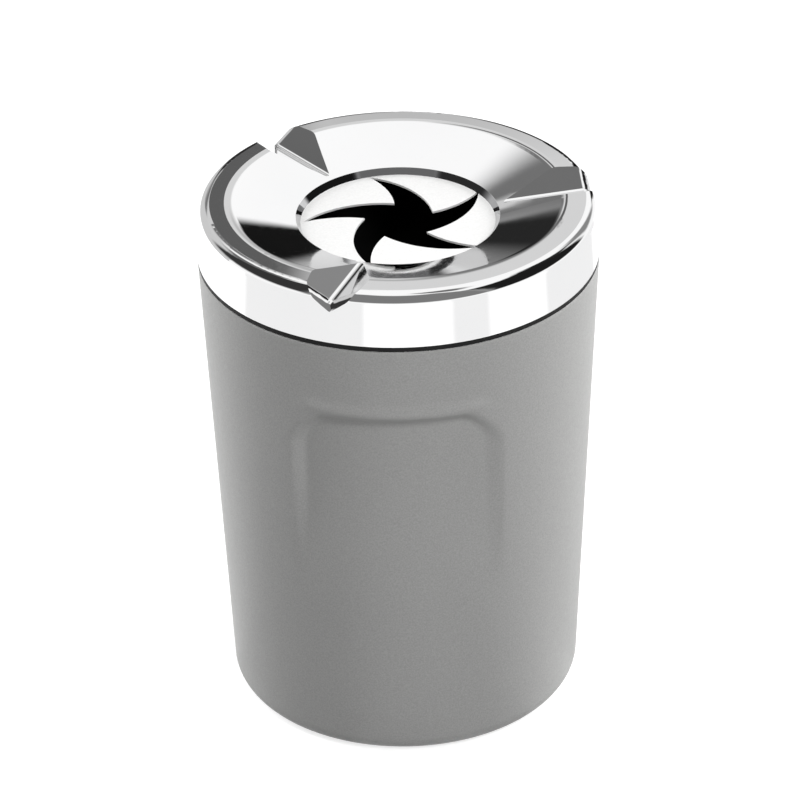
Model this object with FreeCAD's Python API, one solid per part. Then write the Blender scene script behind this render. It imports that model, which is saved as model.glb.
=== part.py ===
import FreeCAD, Part
import math
import os

os.makedirs("parts", exist_ok=True)

# Car ashtray that stands in a cup holder: a tapered cup with thumb grips, a liner that hangs in it,
# and a plated lid with cigarette rests and a pinwheel plate. Millimetres, +Z up, origin at the
# centre of the foot, one thumb grip facing -Y.

# Cup
cup_height = 91.55
cup_top_radius = 37.7
cup_base_radius = 33.6
cup_wall = 2.0
cup_floor = 2.4
cup_base_rounding = 3.6
cup_lip_rounding = 0.4
foot_width = 6.0
foot_recess = 1.2

# Thumb grips, pressed into the cup on opposite sides
grip_count = 2
grip_half_width = 19.4
grip_top = 76.0
grip_bottom = 40.0
grip_depth = 1.1
grip_corner = 7.0
brow_height = 0.4
brow_bead = 2.0
brow_lift = 1.4
brow_fade = 2.5

# Liner, hung by its flange on the rim of the cup
liner_gap = 0.5
liner_wall = 1.5
liner_floor = 1.8
liner_rounding = 3.0
flange_thickness = 0.75
flange_inset = 0.05
neck_wall = 1.4
neck_edge_rounding = 0.4

# Soft ring in a groove of the liner's neck
seal_height = 2.0
seal_groove = 0.6
seal_seat_gap = 0.05
seal_chamfer = 0.4

# Lid
lid_overhang = 0.05
lid_draft = 0.5
lid_height = 10.55
lid_wall = 1.5
lid_edge_rounding = 2.3
lid_foot_rounding = 0.3
rim_width = 5.85
rim_rise = 0.15
dish_depth = 3.7
dish_easing = 6.0
hole_radius = 19.1
hole_step = 1.15
hole_draft = 0.85
inside_rounding = 0.8

# Cigarette rests, V-shaped valleys across the rim
rest_count = 3
rest_angle = 12.3
rest_half_width = 4.86
rest_depth = 2.75
rest_root_rounding = 1.4
rest_lip_rounding = 2.0
rest_lip_overrun = 0.3
rest_run_out = 0.3

# Pinwheel plate, its ears and the screws that hold them
plate_thickness = 0.4
plate_overlap = 2.9
plate_gap = 0.4
arm_count = 5
arm_angle = 38.8
arm_tip_overrun = 0.25
arm_shift = 0.5
arm_root_radius = 6.8
arm_root_lag = 9.4
arm_front_lag = 7.2
arm_back_lag = 26.3
boss_radius = 2.4
boss_inset = 1.7
ear_radius = 3.0
screw_hole_radius = 1.1
pilot_radius = 0.9
pilot_depth = 3.3
shank_clearance = 0.05
shank_tip = 0.8
screw_length = 3.6
head_radius = 1.9
head_height = 1.4
head_chamfer = 0.6
drive_length = 1.8
drive_width = 0.5
drive_depth = 0.7

# Clearances between lid and liner
neck_clearance = 0.8
seal_clearance = 0.3
neck_top_clearance = 0.8

# Places that follow from the sizes above
Vector = FreeCAD.Vector
UP = Vector(0, 0, 1)
lid_radius = cup_top_radius + lid_overhang
lid_top_radius = lid_radius - lid_draft
lid_foot = cup_height + flange_thickness
rim_top = lid_foot + lid_height
rim_inner_radius = lid_top_radius - rim_width
rim_inner_top = rim_top + rim_rise
hole_edge = rim_inner_top - dish_depth
plate_top = hole_edge - hole_step
hole_foot_radius = hole_radius - hole_draft
dish_slope = dish_depth / (rim_inner_radius - hole_radius)
skirt_inner_radius = lid_top_radius - lid_wall
plate_radius = hole_radius + plate_overlap
screw_circle = rim_inner_radius - boss_inset
ear_angle = rest_angle + 180.0 / rest_count
rest_flank = math.atan2(rest_depth, rest_half_width)
rest_start_radius = hole_radius + rest_run_out
rest_start_height = hole_edge + rest_run_out * dish_slope
rest_end_height = rim_top - rest_depth
rest_slope = (rest_end_height - rest_start_height) / (lid_top_radius - rest_start_radius)
neck_radius = skirt_inner_radius - neck_clearance
neck_bore = neck_radius - neck_wall
cup_floor_top = foot_recess + cup_floor
margin = lid_radius


def cup_radius_at(height):
    """Outer radius of the tapered cup at a height."""
    return cup_base_radius + (cup_top_radius - cup_base_radius) * height / cup_height


def rest_height_at(radius):
    """Height of a rest's valley line at a distance from the axis."""
    return rest_start_height + rest_slope * (radius - rest_start_radius)


# The valleys' undersides are the lowest part of the lid above the neck
rest_wall = lid_wall / math.cos(rest_flank)
lowest_valley = min(rest_height_at(neck_bore), rest_height_at(neck_radius))
neck_top = lowest_valley - rest_wall - neck_top_clearance
seal_middle = (lid_foot + neck_top) / 2.0


def rounded_wire(corners):
    """Closed wire in the XZ plane through (x, z, rounding) corners."""
    points = [Vector(x, 0, z) for x, z, rounding in corners]
    count = len(points)
    arcs = []
    for i, (x, z, rounding) in enumerate(corners):
        to_last = (points[i - 1] - points[i]).normalize()
        to_next = (points[(i + 1) % count] - points[i]).normalize()
        if rounding == 0:
            arcs.append((points[i], None, points[i]))
            continue
        half_angle = to_last.getAngle(to_next) / 2.0
        setback = rounding / math.tan(half_angle)
        inward = (to_last + to_next).normalize()
        middle = points[i] + inward * (rounding / math.sin(half_angle) - rounding)
        arcs.append((points[i] + to_last * setback, middle, points[i] + to_next * setback))
    edges = []
    for i, (start, middle, end) in enumerate(arcs):
        if middle is not None:
            edges.append(Part.Arc(start, middle, end).toShape())
        edges.append(Part.LineSegment(end, arcs[(i + 1) % count][0]).toShape())
    return Part.Wire(edges)


def turned(corners):
    """Solid turned about Z from (radius, height, rounding) corners."""
    return Part.Face(rounded_wire(corners)).revolve(Vector(0, 0, 0), UP, 360)


def around(shape, count, first_angle):
    """Copies of a shape spaced evenly about Z, the first one turned by first_angle."""
    copies = []
    for i in range(count):
        copy = shape.copy()
        copy.rotate(Vector(0, 0, 0), UP, first_angle + 360.0 * i / count)
        copies.append(copy)
    return copies


def polar(radius, degrees, height):
    """Point at a radius and angle about Z."""
    angle = math.radians(degrees)
    return Vector(radius * math.cos(angle), radius * math.sin(angle), height)


def grip_cutter():
    """What a thumb grip takes out of the cup: a window whose floor dips away from the wall."""
    below = grip_bottom - grip_corner
    above = grip_top + grip_corner
    fall = grip_depth / (grip_top - grip_bottom)
    floor_low = cup_radius_at(below) - fall * (below - grip_bottom)
    floor_high = cup_radius_at(above) - fall * (above - grip_bottom)
    floor = Part.makeCone(floor_low, floor_high, above - below, Vector(0, 0, below), UP)
    window = Part.Face(rounded_wire([
        (-grip_half_width, below, 0),
        (grip_half_width, below, 0),
        (grip_half_width, grip_top, grip_corner),
        (-grip_half_width, grip_top, grip_corner),
    ]))
    return window.extrude(Vector(0, -margin, 0) * 2).cut(floor)


def grip_brow():
    """Low bead above a thumb grip, bent tighter than the cup so that its ends sink in."""
    height = grip_top + brow_lift
    reach = cup_radius_at(height) + brow_height - brow_bead - brow_fade
    bead = Part.makeTorus(reach, brow_bead, Vector(0, -brow_fade, height), UP)
    half = Part.makeBox(2 * margin, margin, 2 * cup_height, Vector(-margin, -margin - brow_fade, 0))
    return bead.common(half)


def make_outer_cup():
    foot_inner_radius = cup_base_radius - foot_width
    body = turned([
        (0, foot_recess, 0),
        (foot_inner_radius, foot_recess, 0),
        (foot_inner_radius, 0, 0),
        (cup_base_radius, 0, cup_base_rounding),
        (cup_top_radius, cup_height, cup_lip_rounding),
        (0, cup_height, 0),
    ])
    hollow_floor_radius = cup_radius_at(cup_floor_top) - cup_wall
    hollow = turned([
        (0, cup_floor_top, 0),
        (hollow_floor_radius, cup_floor_top, liner_rounding - liner_gap),
        (cup_top_radius - cup_wall, cup_height, 0),
        (cup_top_radius - cup_wall, cup_height + lid_height, 0),
        (0, cup_height + lid_height, 0),
    ])
    body = body.fuse(around(grip_brow(), grip_count, 0))
    body = body.cut(around(grip_cutter(), grip_count, 0))
    return body.cut(hollow)


def make_inner_liner():
    bottom = cup_floor_top + liner_gap
    bottom_radius = cup_radius_at(bottom) - cup_wall - liner_gap
    shoulder_radius = cup_top_radius - cup_wall - liner_gap
    flange_radius = cup_top_radius - flange_inset
    groove_radius = neck_radius - seal_groove
    groove_low = seal_middle - seal_height / 2.0
    groove_high = seal_middle + seal_height / 2.0
    return turned([
        (0, bottom, 0),
        (bottom_radius, bottom, liner_rounding),
        (shoulder_radius, cup_height, 0),
        (flange_radius, cup_height, 0),
        (flange_radius, lid_foot, 0),
        (neck_radius, lid_foot, 0),
        (neck_radius, groove_low, 0),
        (groove_radius, groove_low, 0),
        (groove_radius, groove_high, 0),
        (neck_radius, groove_high, 0),
        (neck_radius, neck_top, neck_edge_rounding),
        (neck_bore, neck_top, neck_edge_rounding),
        (neck_bore, lid_foot, 0),
        (shoulder_radius - liner_wall, cup_height, 0),
        (bottom_radius - liner_wall, bottom + liner_floor, liner_rounding - liner_wall),
        (0, bottom + liner_floor, 0),
    ])


def make_neck_seal():
    inner = neck_radius - seal_groove + seal_seat_gap
    outer = skirt_inner_radius - seal_clearance
    low = seal_middle - seal_height / 2.0 + seal_seat_gap
    high = seal_middle + seal_height / 2.0 - seal_seat_gap
    return turned([
        (inner, low, 0),
        (outer - seal_chamfer, low, 0),
        (outer, low + seal_chamfer, 0),
        (outer, high - seal_chamfer, 0),
        (outer - seal_chamfer, high, 0),
        (inner, high, 0),
    ])


def rest_cutter():
    """V-shaped valley along +X that rolls over the lid's edge at its outer end."""
    lip_end_radius = lid_top_radius + rest_lip_overrun
    tilt = math.atan(rest_slope)
    lip_centre_radius = lip_end_radius - rest_lip_rounding
    roll_radius = lip_centre_radius - rest_lip_rounding * math.sin(tilt)
    roll_height = rest_height_at(roll_radius)
    lip_centre_height = roll_height - rest_lip_rounding * math.cos(tilt)
    roll_start = Vector(roll_radius, 0, roll_height)
    half_turn = (math.pi / 2.0 + tilt) / 2.0
    roll_middle = Vector(
        lip_centre_radius + rest_lip_rounding * math.cos(half_turn), 0,
        lip_centre_height + rest_lip_rounding * math.sin(half_turn))
    roll_end = Vector(lip_end_radius, 0, lip_centre_height)
    outside = lid_radius + margin
    ceiling = rim_top + margin
    corners = [
        Vector(outside, 0, lip_centre_height),
        Vector(outside, 0, ceiling),
        Vector(0, 0, ceiling),
        Vector(0, 0, rest_height_at(0)),
        roll_start,
    ]
    edges = [Part.LineSegment(a, b).toShape() for a, b in zip(corners, corners[1:])]
    edges.append(Part.Arc(roll_start, roll_middle, roll_end).toShape())
    edges.append(Part.LineSegment(roll_end, corners[0]).toShape())
    side_view = Part.Face(Part.Wire(edges))
    flanks = []
    for side in (-1, 1):
        along = Vector(0, side * math.cos(rest_flank), math.sin(rest_flank)) * margin
        sheet = side_view.copy()
        sheet.translate(-along)
        flanks.append(sheet.extrude(along * 2))
    valley = flanks[0].common(flanks[1])
    root = [edge for edge in valley.Edges if edge_lies_on_valley_line(edge)]
    return valley.makeFillet(rest_root_rounding, root)


def edge_lies_on_valley_line(edge):
    """True for the edges at the bottom of the V, on the plane Y = 0 and below the rim."""
    middle = edge.valueAt((edge.FirstParameter + edge.LastParameter) / 2.0)
    on_plane = abs(middle.y) < 1e-6
    return on_plane and middle.z < rim_top and middle.x < lid_top_radius + rest_lip_overrun


def at_bosses(shape):
    """Copies of a shape at the screw bosses, between the rests."""
    placed = shape.copy()
    placed.translate(Vector(screw_circle, 0, 0))
    return around(placed, rest_count, ear_angle)


def make_lid_shell():
    body = turned([
        (0, lid_foot, 0),
        (lid_radius, lid_foot, lid_foot_rounding),
        (lid_top_radius, rim_top, lid_edge_rounding),
        (rim_inner_radius, rim_inner_top, dish_easing),
        (hole_radius, hole_edge, 0),
        (0, hole_edge, 0),
    ])
    rests = around(rest_cutter(), rest_count, rest_angle)
    body = body.cut(rests)

    dish_wall = lid_wall * math.hypot(1.0, dish_slope)
    hollow = turned([
        (0, cup_height - margin, 0),
        (skirt_inner_radius, cup_height - margin, 0),
        (skirt_inner_radius, rim_top - lid_wall, inside_rounding),
        (rim_inner_radius, rim_inner_top - dish_wall, 0),
        (hole_radius, hole_edge - dish_wall, 0),
        (0, hole_edge - dish_wall, 0),
    ])
    for rest in rests:
        rest.translate(Vector(0, 0, -rest_wall))
    boss = Part.makeCylinder(boss_radius, margin, Vector(0, 0, plate_top), UP)
    hollow = hollow.cut(rests + at_bosses(boss))

    seat_radius = plate_radius + plate_gap
    seat = Part.makeCylinder(seat_radius, margin, Vector(0, 0, plate_top - margin), UP)
    hole = Part.makeCone(hole_foot_radius, hole_radius, hole_step, Vector(0, 0, plate_top), UP)
    pilot = Part.makeCylinder(pilot_radius, pilot_depth, Vector(0, 0, plate_top), UP)
    return body.cut([hollow, seat, hole] + at_bosses(pilot))


def pinwheel_opening():
    """Five-armed opening: each arm runs from its tip to two root corners on two arcs."""
    tip_radius = hole_foot_radius + arm_tip_overrun
    middle_radius = (tip_radius + arm_root_radius) / 2.0
    step = 360.0 / arm_count
    floor = plate_top - plate_thickness - hole_step
    edges = []
    for i in range(arm_count):
        tip_angle = arm_angle + step * i
        tip = polar(tip_radius, tip_angle, floor)
        root = polar(arm_root_radius, tip_angle - arm_root_lag, floor)
        last_root = polar(arm_root_radius, tip_angle - arm_root_lag - step, floor)
        front = polar(middle_radius, tip_angle - arm_front_lag, floor)
        back = polar(middle_radius, tip_angle - arm_back_lag, floor)
        edges.append(Part.Arc(last_root, back, tip).toShape())
        edges.append(Part.Arc(tip, front, root).toShape())
    opening = Part.Face(Part.Wire(edges)).extrude(UP * (plate_thickness + 2 * hole_step))
    opening.translate(Vector(arm_shift, 0, 0))
    return opening


def make_pinwheel_plate():
    low = Vector(0, 0, plate_top - plate_thickness)
    disc = Part.makeCylinder(plate_radius, plate_thickness, low, UP)
    strip = Part.makeBox(screw_circle, 2 * ear_radius, plate_thickness, low - Vector(0, ear_radius, 0))
    ear_end = Part.makeCylinder(ear_radius, plate_thickness, low, UP)
    screw_hole = Part.makeCylinder(screw_hole_radius, plate_thickness, low, UP)
    ears = around(strip, rest_count, ear_angle) + at_bosses(ear_end)
    plate = disc.fuse(ears).removeSplitter()
    return plate.cut([pinwheel_opening()] + at_bosses(screw_hole))


def make_plate_screws():
    seat = plate_top - plate_thickness
    shank_radius = pilot_radius - shank_clearance
    screw = turned([
        (0, seat - head_height, 0),
        (head_radius - head_chamfer, seat - head_height, 0),
        (head_radius, seat - head_height + head_chamfer, 0),
        (head_radius, seat, 0),
        (shank_radius, seat, 0),
        (shank_radius, seat + screw_length - shank_tip, 0),
        (0, seat + screw_length, 0),
    ])
    corner = Vector(-drive_length / 2.0, -drive_width / 2.0, seat - head_height)
    slot = Part.makeBox(drive_length, drive_width, drive_depth, corner)
    screw = screw.cut(around(slot, 2, 0) + around(slot, 2, 90))
    return Part.makeCompound(at_bosses(screw))


nodes = {
    "outer_cup": make_outer_cup,
    "inner_liner": make_inner_liner,
    "neck_seal": make_neck_seal,
    "lid_shell": make_lid_shell,
    "pinwheel_plate": make_pinwheel_plate,
    "plate_screws": make_plate_screws,
}

for name, make in nodes.items():
    shape = make()
    shape.exportStep("parts/" + name + ".step")
    print(name, len(shape.Solids), shape.isValid(), round(shape.Volume, 1), shape.BoundBox)
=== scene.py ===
import bpy
import bmesh
import math
from mathutils import Matrix, Vector


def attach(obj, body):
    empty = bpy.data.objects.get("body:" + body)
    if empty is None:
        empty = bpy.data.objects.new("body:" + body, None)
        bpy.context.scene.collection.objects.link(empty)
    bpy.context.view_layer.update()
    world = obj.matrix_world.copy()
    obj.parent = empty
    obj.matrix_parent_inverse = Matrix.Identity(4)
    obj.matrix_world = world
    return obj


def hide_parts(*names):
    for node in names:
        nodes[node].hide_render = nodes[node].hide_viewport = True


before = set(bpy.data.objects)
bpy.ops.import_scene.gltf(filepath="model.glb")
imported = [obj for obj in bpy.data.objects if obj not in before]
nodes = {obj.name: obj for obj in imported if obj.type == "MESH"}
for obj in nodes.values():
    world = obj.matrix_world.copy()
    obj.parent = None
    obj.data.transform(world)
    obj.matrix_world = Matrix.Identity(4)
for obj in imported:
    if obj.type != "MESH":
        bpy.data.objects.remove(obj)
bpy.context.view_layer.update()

MM = 0.001

# Camera, in millimetres and degrees, in the row frame
CAMERA_AZIMUTH = -88.0
CAMERA_REACH = 683.68
CAMERA_HEIGHT = 467.05
CAMERA_PITCH = 30.83
CAMERA_YAW = -0.02
CAMERA_ROLL = -1.07
CAMERA_LENS = 186.9
SENSOR_WIDTH = 36.0

# Cup sizes, in millimetres, as in the CAD solid
CUP_TOP = 91.55
CUP_TOP_RADIUS = 37.7
CUP_BASE_RADIUS = 33.6
CUP_WALL = 2.0
CUP_FLOOR = 2.4
CUP_BASE_ROUNDING = 3.6
CUP_LIP_ROUNDING = 0.5
CUP_INSIDE_ROUNDING = 2.5
FOOT_WIDTH = 6.0
FOOT_RECESS = 1.2
FOOT_ROUNDING = 0.5
FOOT_DRAFT = 0.1

# Thumb grips, in millimetres: deeper and softer than in the CAD solid, to shade as in the photo
GRIP_HALF_WIDTH = 19.4
GRIP_TOP = 76.0
GRIP_BOTTOM = 33.0
GRIP_FULL = 64.0
GRIP_DEPTH = 1.6
GRIP_CORNER = 7.0
GRIP_CORNER_POWER = 1.5
GRIP_TOP_SOFTNESS = 2.4
GRIP_SIDE_SOFTNESS = 3.6
BROW_HEIGHT = 0.5
BROW_LIFT = 1.9
BROW_WIDTH = 1.2
BROW_FADE = 6.0

# Fineness of the cup's mesh
CUP_SIDES = 480
CUP_WALL_STEPS = 150
CUP_LIP_STEPS = 5
SAME_RADIUS = 1e-4

# Lid sizes, in millimetres: the radius of the hole at the dish's edge, and how far inside that edge the
# painted shade on the hole's wall starts and is full
HOLE_RADIUS = 19.1
HOLE_SHADE_START = 0.02
HOLE_SHADE_FULL = 0.06

# Part of a noise's range that is spread over the wanted values
NOISE_LOW = 0.3
NOISE_HIGH = 0.7


def smooth_step(low, high, value):
    """0 below low, 1 above high, eased between."""
    t = min(1.0, max(0.0, (value - low) / (high - low)))
    return t * t * (3.0 - 2.0 * t)


# Materials


def new_material(name):
    """A node material and its principled shader."""
    material = bpy.data.materials.new(name)
    material.use_nodes = True
    return material, material.node_tree.nodes["Principled BSDF"]


def object_noise(tree, scale, detail):
    """Noise in object space, with scale in cells per metre."""
    coordinates = tree.nodes.new("ShaderNodeTexCoord")
    noise = tree.nodes.new("ShaderNodeTexNoise")
    noise.inputs["Scale"].default_value = scale
    noise.inputs["Detail"].default_value = detail
    tree.links.new(coordinates.outputs["Object"], noise.inputs["Vector"])
    return noise.outputs["Fac"]


def vary(tree, factor, low, high, socket):
    """Link a noise factor to a number socket, spread between low and high."""
    spread = tree.nodes.new("ShaderNodeMapRange")
    spread.inputs["From Min"].default_value = NOISE_LOW
    spread.inputs["From Max"].default_value = NOISE_HIGH
    spread.inputs["To Min"].default_value = low
    spread.inputs["To Max"].default_value = high
    tree.links.new(factor, spread.inputs["Value"])
    tree.links.new(spread.outputs["Result"], socket)


def vary_colour(tree, factor, dark, light, socket):
    """Link a noise factor to a colour socket, between two greys."""
    ramp = tree.nodes.new("ShaderNodeValToRGB")
    ramp.color_ramp.elements[0].position = NOISE_LOW
    ramp.color_ramp.elements[0].color = (*dark, 1)
    ramp.color_ramp.elements[1].position = NOISE_HIGH
    ramp.color_ramp.elements[1].color = (*light, 1)
    tree.links.new(factor, ramp.inputs["Fac"])
    tree.links.new(ramp.outputs["Color"], socket)


def bump(tree, factor, strength, distance, shader):
    """Bump from a noise factor."""
    node = tree.nodes.new("ShaderNodeBump")
    node.inputs["Strength"].default_value = strength
    node.inputs["Distance"].default_value = distance
    tree.links.new(factor, node.inputs["Height"])
    tree.links.new(node.outputs["Normal"], shader.inputs["Normal"])


def cup_plastic():
    """Grey satin plastic with a fine eroded grain."""
    material, shader = new_material("cup_satin_plastic")
    tree = material.node_tree
    vary_colour(tree, object_noise(tree, 3600, 3), (0.250, 0.250, 0.246), (0.314, 0.314, 0.310),
                shader.inputs["Base Color"])
    vary(tree, object_noise(tree, 900, 4), 0.40, 0.48, shader.inputs["Roughness"])
    bump(tree, object_noise(tree, 4500, 2), 0.06, 0.0001, shader)
    shader.inputs["Specular IOR Level"].default_value = 0.5
    return material


def lid_chrome():
    """Plated mirror finish with faint handling marks, and painted shade that makes it greyer on the wall of
    the hole.
    """
    material, shader = new_material("lid_chrome")
    tree = material.node_tree
    shader.inputs["Metallic"].default_value = 1.0
    coordinates = tree.nodes.new("ShaderNodeTexCoord")
    flat = tree.nodes.new("ShaderNodeVectorMath")
    flat.operation = "MULTIPLY"
    flat.inputs[1].default_value = (1, 1, 0)
    radius = tree.nodes.new("ShaderNodeVectorMath")
    radius.operation = "LENGTH"
    tree.links.new(coordinates.outputs["Object"], flat.inputs[0])
    tree.links.new(flat.outputs["Vector"], radius.inputs[0])
    # Painted shade: the chrome's colour turns grey inside the hole's edge, on the hole's wall
    edge = tree.nodes.new("ShaderNodeMapRange")
    edge.inputs["From Min"].default_value = (HOLE_RADIUS - HOLE_SHADE_FULL) * MM
    edge.inputs["From Max"].default_value = (HOLE_RADIUS - HOLE_SHADE_START) * MM
    tree.links.new(radius.outputs["Value"], edge.inputs["Value"])
    # Grey of the painted shade on the hole's wall, mixed with the chrome's own colour
    painted_shade_tone = tree.nodes.new("ShaderNodeMix")
    painted_shade_tone.data_type = "RGBA"
    painted_shade_tone.inputs["A"].default_value = (0.62, 0.62, 0.63, 1)
    tree.links.new(edge.outputs["Result"], painted_shade_tone.inputs["Factor"])
    vary_colour(tree, object_noise(tree, 40, 2), (0.93, 0.93, 0.935), (0.96, 0.96, 0.962), painted_shade_tone.inputs["B"])
    tree.links.new(painted_shade_tone.outputs["Result"], shader.inputs["Base Color"])
    vary(tree, object_noise(tree, 700, 5), 0.02, 0.06, shader.inputs["Roughness"])
    return material


def plate_steel():
    """Satin-blasted silver plate."""
    material, shader = new_material("plate_satin")
    tree = material.node_tree
    shader.inputs["Metallic"].default_value = 0.35
    vary_colour(tree, object_noise(tree, 2500, 3), (0.76, 0.76, 0.755), (0.82, 0.82, 0.815),
                shader.inputs["Base Color"])
    vary(tree, object_noise(tree, 3000, 3), 0.30, 0.40, shader.inputs["Roughness"])
    bump(tree, object_noise(tree, 9000, 2), 0.05, 0.00005, shader)
    return material


def liner_plastic():
    """Black heat-proof plastic."""
    material, shader = new_material("liner_black")
    tree = material.node_tree
    vary_colour(tree, object_noise(tree, 80, 3), (0.004, 0.004, 0.004), (0.008, 0.008, 0.008),
                shader.inputs["Base Color"])
    vary(tree, object_noise(tree, 900, 4), 0.45, 0.60, shader.inputs["Roughness"])
    bump(tree, object_noise(tree, 4000, 2), 0.08, 0.0001, shader)
    shader.inputs["Specular IOR Level"].default_value = 0.2
    return material


def seal_rubber():
    """Black silicone."""
    material, shader = new_material("seal_silicone")
    tree = material.node_tree
    vary_colour(tree, object_noise(tree, 120, 3), (0.016, 0.016, 0.016), (0.026, 0.026, 0.026),
                shader.inputs["Base Color"])
    vary(tree, object_noise(tree, 1200, 4), 0.55, 0.70, shader.inputs["Roughness"])
    return material


def screw_steel():
    """Zinc-plated screw steel."""
    material, shader = new_material("screw_zinc")
    tree = material.node_tree
    shader.inputs["Metallic"].default_value = 1.0
    vary_colour(tree, object_noise(tree, 900, 3), (0.60, 0.60, 0.62), (0.72, 0.72, 0.74),
                shader.inputs["Base Color"])
    vary(tree, object_noise(tree, 2500, 4), 0.25, 0.40, shader.inputs["Roughness"])
    return material


def dress(name, material):
    """Give a CAD node one material."""
    nodes[name].data.materials.clear()
    nodes[name].data.materials.append(material)


# Cup with soft thumb grips


def cup_radius_at(height):
    """Outer radius of the plain tapered cup, in millimetres."""
    return CUP_BASE_RADIUS + (CUP_TOP_RADIUS - CUP_BASE_RADIUS) * height / CUP_TOP


def grip_offset(angle, height):
    """How far the wall stands in or out at a thumb grip, in millimetres; angle 0 faces a grip."""
    across = cup_radius_at(height) * angle
    corner_x = abs(across) - (GRIP_HALF_WIDTH - GRIP_CORNER)
    corner_z = height - (GRIP_TOP - GRIP_CORNER)
    side = max(corner_x, 0.0) ** GRIP_CORNER_POWER
    upper = max(corner_z, 0.0) ** GRIP_CORNER_POWER
    outside = (side + upper) ** (1.0 / GRIP_CORNER_POWER)
    edge = outside + min(max(corner_x, corner_z), 0.0) - GRIP_CORNER
    share = side / (side + upper) if side + upper > 0.0 else 0.0
    soft = GRIP_TOP_SOFTNESS + (GRIP_SIDE_SOFTNESS - GRIP_TOP_SOFTNESS) * share
    depth = GRIP_DEPTH * smooth_step(GRIP_BOTTOM, GRIP_FULL, height)
    dip = depth * smooth_step(soft / 2.0, -soft / 2.0, edge)
    above = (height - GRIP_TOP - BROW_LIFT) / BROW_WIDTH
    fade = smooth_step(GRIP_HALF_WIDTH, GRIP_HALF_WIDTH - BROW_FADE, abs(across))
    return BROW_HEIGHT * math.exp(-above * above) * fade - dip


def rounded_corner(corner, last, following, rounding, steps):
    """Points of an arc that rounds a profile corner."""
    to_last = (last - corner).normalized()
    to_next = (following - corner).normalized()
    half = to_last.angle(to_next) / 2.0
    centre = corner + (to_last + to_next).normalized() * (rounding / math.sin(half))
    start = corner + to_last * (rounding / math.tan(half)) - centre
    end = corner + to_next * (rounding / math.tan(half)) - centre
    points = []
    for i in range(steps + 1):
        t = i / steps
        arm = start.lerp(end, t).normalized() * rounding
        points.append(centre + arm)
    return points


def cup_profile():
    """Half section of the cup from the middle of its foot, round the wall, to the middle of its floor."""
    foot_inner = CUP_BASE_RADIUS - FOOT_WIDTH
    floor_top = FOOT_RECESS + CUP_FLOOR
    # Radius, height, rounding and arc steps of each corner
    corners = [
        (0.0, FOOT_RECESS, 0, 0),
        (foot_inner, FOOT_RECESS, FOOT_ROUNDING, 3),
        (foot_inner + FOOT_DRAFT, 0.0, FOOT_ROUNDING, 3),
        (CUP_BASE_RADIUS, 0.0, CUP_BASE_ROUNDING, 12),
        (CUP_TOP_RADIUS, CUP_TOP, CUP_LIP_ROUNDING, CUP_LIP_STEPS),
        (CUP_TOP_RADIUS - CUP_WALL, CUP_TOP, CUP_LIP_ROUNDING, 3),
        (cup_radius_at(floor_top) - CUP_WALL, floor_top, CUP_INSIDE_ROUNDING, 6),
        (0.0, floor_top, 0, 0),
    ]
    flat = [Vector((x, z)) for x, z, rounding, steps in corners]
    profile = []
    for i, (x, z, rounding, steps) in enumerate(corners):
        if rounding == 0:
            profile.append(flat[i])
        else:
            profile.extend(rounded_corner(flat[i], flat[i - 1], flat[i + 1], rounding, steps))
        if x == CUP_BASE_RADIUS:
            wall_start = profile[-1]
            lip = rounded_corner(flat[i + 1], flat[i], flat[i + 2], CUP_LIP_ROUNDING, CUP_LIP_STEPS)
            for k in range(1, CUP_WALL_STEPS):
                profile.append(wall_start.lerp(lip[0], k / CUP_WALL_STEPS))
    return profile


def build_cup():
    """The cup as one closed mesh, turned from its section, with a soft grip on two sides."""
    profile = cup_profile()
    mesh = bmesh.new()
    rings = []
    for point in profile:
        if point.x == 0.0:
            rings.append([mesh.verts.new((0, 0, point.y * MM))])
            continue
        ring = []
        for i in range(CUP_SIDES):
            turn = 2.0 * math.pi * i / CUP_SIDES
            from_grip = (turn + math.pi / 2.0) % math.pi - math.pi / 2.0
            outer = point.x >= cup_radius_at(point.y) - SAME_RADIUS
            radius = point.x + (grip_offset(from_grip, point.y) if outer else 0.0)
            x = radius * math.sin(turn)
            y = -radius * math.cos(turn)
            ring.append(mesh.verts.new((x * MM, y * MM, point.y * MM)))
        rings.append(ring)
    for lower, upper in zip(rings, rings[1:]):
        for i in range(CUP_SIDES):
            j = (i + 1) % CUP_SIDES
            if len(lower) == 1:
                mesh.faces.new((lower[0], upper[j], upper[i]))
            elif len(upper) == 1:
                mesh.faces.new((lower[i], lower[j], upper[0]))
            else:
                mesh.faces.new((lower[i], lower[j], upper[j], upper[i]))
    for face in mesh.faces:
        face.smooth = True
    bmesh.ops.recalc_face_normals(mesh, faces=mesh.faces)
    data = bpy.data.meshes.new("cup_body")
    mesh.to_mesh(data)
    mesh.free()
    cup = bpy.data.objects.new("cup_body", data)
    bpy.context.scene.collection.objects.link(cup)
    return cup


# Stage


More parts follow.
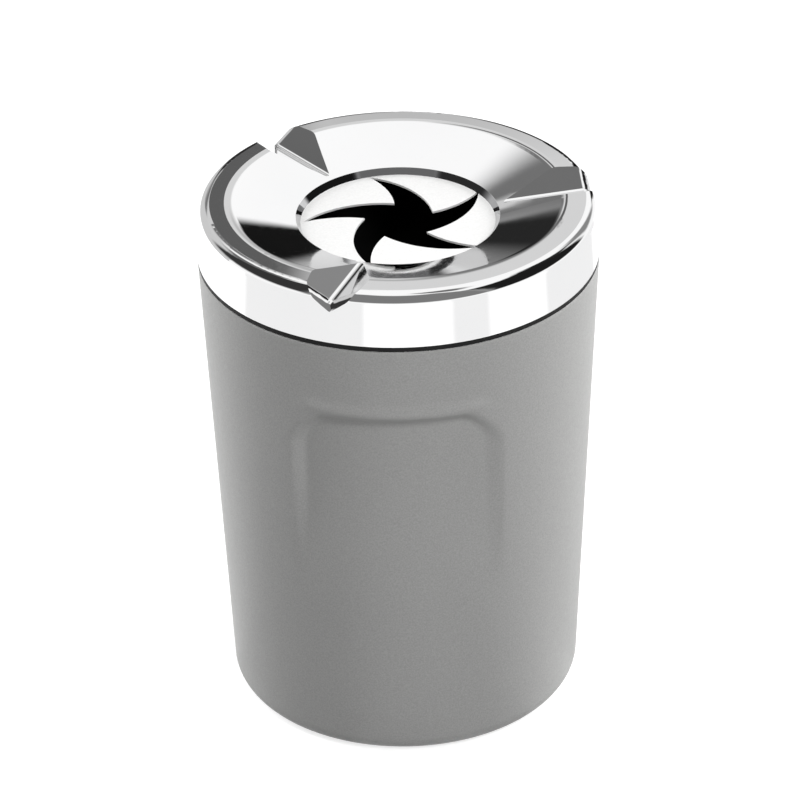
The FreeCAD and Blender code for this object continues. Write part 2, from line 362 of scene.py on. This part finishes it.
class Graph:
    """Short calls for math nodes in a node tree."""

    def __init__(self, tree):
        self.tree = tree

    def math(self, operation, first, second=None):
        """One math node; an input is a number or a socket."""
        node = self.tree.nodes.new("ShaderNodeMath")
        node.operation = operation
        for socket, value in zip(node.inputs, (first, second)):
            if value is None:
                continue
            if isinstance(value, (int, float)):
                socket.default_value = value
            else:
                self.tree.links.new(value, socket)
        return node.outputs[0]

    def rise(self, value, low, high):
        """0 below low, 1 above high, eased between."""
        node = self.tree.nodes.new("ShaderNodeMapRange")
        node.interpolation_type = "SMOOTHSTEP"
        node.inputs["From Min"].default_value = low
        node.inputs["From Max"].default_value = high
        self.tree.links.new(value, node.inputs["Value"])
        return node.outputs["Result"]

    def window(self, value, low, high, soft):
        """1 between low and high, 0 outside, with soft edges."""
        up = self.rise(value, low - soft / 2.0, low + soft / 2.0)
        down = self.rise(value, high - soft / 2.0, high + soft / 2.0)
        return self.math("SUBTRACT", up, down)

    def studio_axes(self, vector):
        """Parts of a vector to the right of, away from and above the photograph's camera."""
        turn = self.tree.nodes.new("ShaderNodeVectorRotate")
        turn.rotation_type = "Z_AXIS"
        turn.inputs["Angle"].default_value = math.radians(-90.0 - CAMERA_AZIMUTH)
        split = self.tree.nodes.new("ShaderNodeSeparateXYZ")
        self.tree.links.new(vector, turn.inputs["Vector"])
        self.tree.links.new(turn.outputs[0], split.inputs[0])
        return split.outputs[0], split.outputs[1], split.outputs[2]


FLOOR_REACH = 1.2
FLOOR_PAINT = 0.4

# Pale stretches of floor that the lid's skirt reflects, in degrees to the right of the camera's side
FLOOR_BANDS = [(-90, -18), (27, 48), (84, 136)]
FLOOR_BAND_SOFTNESS = 5.0
FLOOR_GLOW = 0.75
FLOOR_WHITE = 1.2
FLOOR_PALE = 0.92


def floor_in_mirrors(tree):
    """Strength of the floor's glow where chrome reflects it."""
    graph = Graph(tree)
    geometry = tree.nodes.new("ShaderNodeNewGeometry")
    right, away = graph.studio_axes(geometry.outputs["Position"])[:2]
    near = graph.math("MULTIPLY", away, -1.0)
    bearing = graph.math("DEGREES", graph.math("ARCTAN2", right, near))
    level = FLOOR_WHITE
    for low, high in FLOOR_BANDS:
        band = graph.window(bearing, low, high, FLOOR_BAND_SOFTNESS)
        level = graph.math("SUBTRACT", level, graph.math("MULTIPLY", band, FLOOR_WHITE - FLOOR_PALE))
    return level


def build_floor():
    """Plain pale floor that takes the object's shadow and glows to stay white."""
    reach = FLOOR_REACH
    corners = [(-reach, -reach, 0), (reach, -reach, 0), (reach, reach, 0), (-reach, reach, 0)]
    data = bpy.data.meshes.new("floor")
    data.from_pydata(corners, [], [(0, 1, 2, 3)])
    floor = bpy.data.objects.new("floor", data)
    bpy.context.scene.collection.objects.link(floor)
    material = bpy.data.materials.new("floor_white")
    material.use_nodes = True
    tree = material.node_tree
    tree.nodes.clear()
    paint = tree.nodes.new("ShaderNodeBsdfDiffuse")
    paint.inputs["Color"].default_value = (FLOOR_PAINT, FLOOR_PAINT, FLOOR_PAINT, 1)
    glow = tree.nodes.new("ShaderNodeEmission")
    mirrored = tree.nodes.new("ShaderNodeEmission")
    both = tree.nodes.new("ShaderNodeAddShader")
    choice = tree.nodes.new("ShaderNodeMixShader")
    path = tree.nodes.new("ShaderNodeLightPath")
    output = tree.nodes.new("ShaderNodeOutputMaterial")
    strength = Graph(tree).math("MULTIPLY", path.outputs["Is Camera Ray"], FLOOR_GLOW)
    tree.links.new(strength, glow.inputs["Strength"])
    tree.links.new(floor_in_mirrors(tree), mirrored.inputs["Strength"])
    tree.links.new(paint.outputs[0], both.inputs[0])
    tree.links.new(glow.outputs[0], both.inputs[1])
    tree.links.new(path.outputs["Is Glossy Ray"], choice.inputs["Fac"])
    tree.links.new(both.outputs[0], choice.inputs[1])
    tree.links.new(mirrored.outputs[0], choice.inputs[2])
    tree.links.new(choice.outputs[0], output.inputs["Surface"])
    data.materials.append(material)


# Grey cards that the chrome reflects, in degrees: azimuth to the right of straight behind, from and
# to, elevation from and to, softness of the upright and of the level edges, and grey level
CARDS = [
    (30, 110, 72, 86, 10, 6, 0.16),
    (-75, -12.6, -60, 38, 2, 6, 0.60),
    (-3.0, 9.0, 10, 42, 4, 6, 0.68),
    (-3.0, 6.0, 10, 25, 4, 4, 0.48),
    (-22, -8, 18, 43, 5, 12, 0.17),
    (-40, -7, 26, 32, 2, 3, 0.62),
    (-6.4, -2.3, 18, 43, 1.6, 12, 0.11),
    (-62, -34, 37, 60, 10, 8, 0.14),
    (-132, -55, 13, 70, 10, 12, 0.035),
    (-12.6, 13.0, -30, 6, 2, 8, 0.42),
    (-12.6, -0.5, -6, 21, 2, 6, 0.20),
    (-13.0, -3.5, 4, 19.5, 2, 8, 0.02),
    (3.4, 28.0, 2, 17.5, 3, 4, 0.008),
    (30, 52, 12, 40, 8, 10, 0.25),
    (46, 62, 36, 56, 6, 8, 0.02),
    (58, 130, 6, 58, 8, 5, 0.012),
    (128, 232, 6, 76, 12, 6, 0.20),
]

# Strength of the studio's soft light from all round
SOFT_LIGHT = 0.20

# Lamps: name, place and size in metres, power in watts
LAMPS = [
    ("left_softbox", (-1.0, 0.6, 0.5), 0.8, 25),
    ("right_softbox", (1.0, 0.65, 0.5), 0.8, 28),
    ("top_softbox", (0.1, 0.0, 1.3), 1.0, 1.5),
    ("front_fill", (0.19, -0.36, 0.46), 0.15, 2.3),
]
LAMP_TARGET = Vector((0, 0, 0.05))


def build_world():
    """White studio: plain for soft light, with grey cards for mirror reflections."""
    world = bpy.data.worlds.new("studio")
    world.use_nodes = True
    bpy.context.scene.world = world
    tree = world.node_tree
    graph = Graph(tree)
    background = tree.nodes["Background"]
    background.inputs["Color"].default_value = (1, 1, 1, 1)
    coordinates = tree.nodes.new("ShaderNodeTexCoord")
    right, away, above = graph.studio_axes(coordinates.outputs["Generated"])
    azimuth = graph.math("DEGREES", graph.math("ARCTAN2", right, away))
    around = graph.math("WRAP", azimuth, 360.0)
    elevation = graph.math("DEGREES", graph.math("ARCSINE", above))
    level = 1.0
    for low, high, bottom, top, side_soft, level_soft, grey in CARDS:
        bearing = around if high > 180 else azimuth
        across = graph.window(bearing, low, high, side_soft)
        up = graph.window(elevation, bottom, top, level_soft)
        cover = graph.math("MULTIPLY", up, across)
        change = graph.math("MULTIPLY", graph.math("SUBTRACT", level, grey), cover)
        level = graph.math("SUBTRACT", level, change)
    path = tree.nodes.new("ShaderNodeLightPath")
    glossy = path.outputs["Is Glossy Ray"]
    camera = path.outputs["Is Camera Ray"]
    seen = graph.math("MULTIPLY", glossy, level)
    soft = graph.math("MULTIPLY", graph.math("SUBTRACT", 1.0, glossy), SOFT_LIGHT)
    lit = graph.math("ADD", seen, soft)
    extra = graph.math("MULTIPLY", camera, graph.math("SUBTRACT", 1.0, lit))
    tree.links.new(graph.math("ADD", lit, extra), background.inputs["Strength"])


def add_lamp(name, place, size, power):
    """Soft square lamp turned towards the object, seen by neither the camera nor the chrome."""
    lamp = bpy.data.lights.new(name, "AREA")
    lamp.size = size
    lamp.energy = power
    holder = bpy.data.objects.new(name, lamp)
    bpy.context.scene.collection.objects.link(holder)
    holder.location = place
    aim = LAMP_TARGET - Vector(place)
    holder.rotation_euler = aim.to_track_quat("-Z", "Y").to_euler()
    holder.visible_glossy = False
    holder.visible_camera = False


def build_camera():
    """Camera at the photograph's viewing angle."""
    data = bpy.data.cameras.new("camera")
    data.sensor_width = SENSOR_WIDTH
    data.lens = CAMERA_LENS
    camera = bpy.data.objects.new("camera", data)
    bpy.context.scene.collection.objects.link(camera)
    turn = math.radians(CAMERA_AZIMUTH)
    place = Vector((CAMERA_REACH * math.cos(turn), CAMERA_REACH * math.sin(turn), CAMERA_HEIGHT))
    camera.location = place * MM
    heading = turn + math.pi / 2.0 - math.radians(CAMERA_YAW)
    tilt = math.pi / 2.0 - math.radians(CAMERA_PITCH)
    aim = Matrix.Rotation(heading, 4, "Z") @ Matrix.Rotation(tilt, 4, "X")
    roll = Matrix.Rotation(math.radians(CAMERA_ROLL), 4, "Z")
    camera.rotation_euler = (aim @ roll).to_euler()
    bpy.context.scene.camera = camera


bpy.context.scene.view_settings.view_transform = "Standard"

dress("inner_liner", liner_plastic())
dress("neck_seal", seal_rubber())
dress("lid_shell", lid_chrome())
dress("pinwheel_plate", plate_steel())
dress("plate_screws", screw_steel())

cup = build_cup()
cup.data.materials.append(cup_plastic())
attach(cup, "cup")
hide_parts("outer_cup")

build_floor()
build_world()
for name, place, size, power in LAMPS:
    add_lamp(name, place, size, power)
build_camera()
